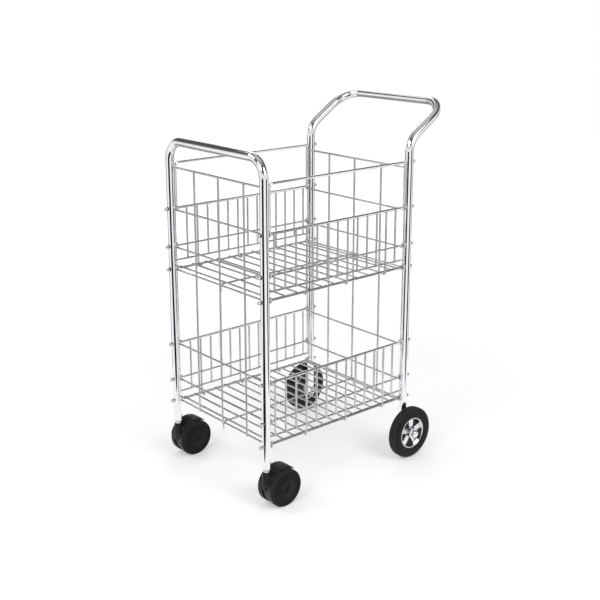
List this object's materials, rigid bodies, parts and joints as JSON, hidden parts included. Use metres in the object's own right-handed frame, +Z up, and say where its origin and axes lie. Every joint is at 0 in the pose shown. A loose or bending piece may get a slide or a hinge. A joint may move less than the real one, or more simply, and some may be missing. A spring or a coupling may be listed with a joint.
{
  "type": "mobile file cart",
  "caption": "Chrome wire office cart with an upper hanging-file basket, a lower parcel basket, a push handle, swivel casters in front and larger fixed wheels at the rear.",
  "frame": {"origin": "on the floor, at the bottom centre of the overall box", "axes": "+X to the right as seen from the front, +Y from the front casters to the push handle, +Z up"},
  "size_m": [0.4966, 0.6468, 0.9711],
  "materials": {
    "chrome": "polished",
    "steel": "bright",
    "rim": "bright",
    "caster_plastic": "satin",
    "tyre": "matte"
  },
  "bodies": {
    "frame": {"front_loop": "chrome", "push_handle": "chrome", "rear_post_left": "chrome", "rear_post_right": "chrome", "front_end_panel": "chrome", "rear_end_panel": "chrome", "lower_floor": "chrome", "lower_side_left": "chrome", "lower_side_right": "chrome", "upper_floor": "chrome", "upper_side_left": "chrome", "upper_side_right": "chrome", "file_rail_left": "chrome", "file_rail_right": "chrome", "nut_front_left_1": "chrome", "nut_front_left_2": "chrome", "nut_front_left_3": "chrome", "nut_front_left_4": "chrome", "nut_front_left_5": "chrome", "nut_front_left_6": "chrome", "nut_front_right_1": "chrome", "nut_front_right_2": "chrome", "nut_front_right_3": "chrome", "nut_front_right_4": "chrome", "nut_front_right_5": "chrome", "nut_front_right_6": "chrome", "nut_rear_left_1": "chrome", "nut_rear_left_2": "chrome", "nut_rear_left_3": "chrome", "nut_rear_left_4": "chrome", "nut_rear_left_5": "chrome", "nut_rear_left_6": "chrome", "nut_rear_right_1": "chrome", "nut_rear_right_2": "chrome", "nut_rear_right_3": "chrome", "nut_rear_right_4": "chrome", "nut_rear_right_5": "chrome", "nut_rear_right_6": "chrome", "nut_handle_left": "chrome", "nut_handle_right": "chrome", "caster_left_socket": "steel", "caster_right_socket": "steel", "rear_wheel_left_axle": "steel", "rear_wheel_left_cap": "chrome", "rear_wheel_right_axle": "steel", "rear_wheel_right_cap": "chrome"},
    "caster_left": {"caster_left_stem": "steel", "caster_left_housing": "caster_plastic", "caster_left_axle": "steel"},
    "caster_left_wheel_a": {"caster_left_wheel_a": "caster_plastic"},
    "caster_left_wheel_b": {"caster_left_wheel_b": "caster_plastic"},
    "caster_right": {"caster_right_stem": "steel", "caster_right_housing": "caster_plastic", "caster_right_axle": "steel"},
    "caster_right_wheel_a": {"caster_right_wheel_a": "caster_plastic"},
    "caster_right_wheel_b": {"caster_right_wheel_b": "caster_plastic"},
    "rear_wheel_left": {"rear_wheel_left_rim": "rim", "rear_wheel_left_tyre": "tyre"},
    "rear_wheel_right": {"rear_wheel_right_rim": "rim", "rear_wheel_right_tyre": "tyre"}
  },
  "joints": [
    {"name": "caster_left_swivel", "type": "hinge", "parent": "frame", "child": "caster_left", "pos_m": [-0.193, -0.3017, 0.1], "axis": [0, 0, 1], "continuous": true},
    {"name": "caster_left_wheel_a_spin", "type": "hinge", "parent": "caster_left", "child": "caster_left_wheel_a", "pos_m": [-0.21225, -0.2607, 0.049], "axis": [1, 0, 0], "continuous": true},
    {"name": "caster_left_wheel_b_spin", "type": "hinge", "parent": "caster_left", "child": "caster_left_wheel_b", "pos_m": [-0.17375, -0.2607, 0.049], "axis": [1, 0, 0], "continuous": true},
    {"name": "caster_right_swivel", "type": "hinge", "parent": "frame", "child": "caster_right", "pos_m": [0.193, -0.3017, 0.1], "axis": [0, 0, 1], "continuous": true},
    {"name": "caster_right_wheel_a_spin", "type": "hinge", "parent": "caster_right", "child": "caster_right_wheel_a", "pos_m": [0.17375, -0.2607, 0.049], "axis": [1, 0, 0], "continuous": true},
    {"name": "caster_right_wheel_b_spin", "type": "hinge", "parent": "caster_right", "child": "caster_right_wheel_b", "pos_m": [0.21225, -0.2607, 0.049], "axis": [1, 0, 0], "continuous": true},
    {"name": "rear_wheel_left_spin", "type": "hinge", "parent": "frame", "child": "rear_wheel_left", "pos_m": [-0.2205, 0.1783, 0.071], "axis": [1, 0, 0], "continuous": true},
    {"name": "rear_wheel_right_spin", "type": "hinge", "parent": "frame", "child": "rear_wheel_right", "pos_m": [0.2205, 0.1783, 0.071], "axis": [1, 0, 0], "continuous": true}
  ]
}
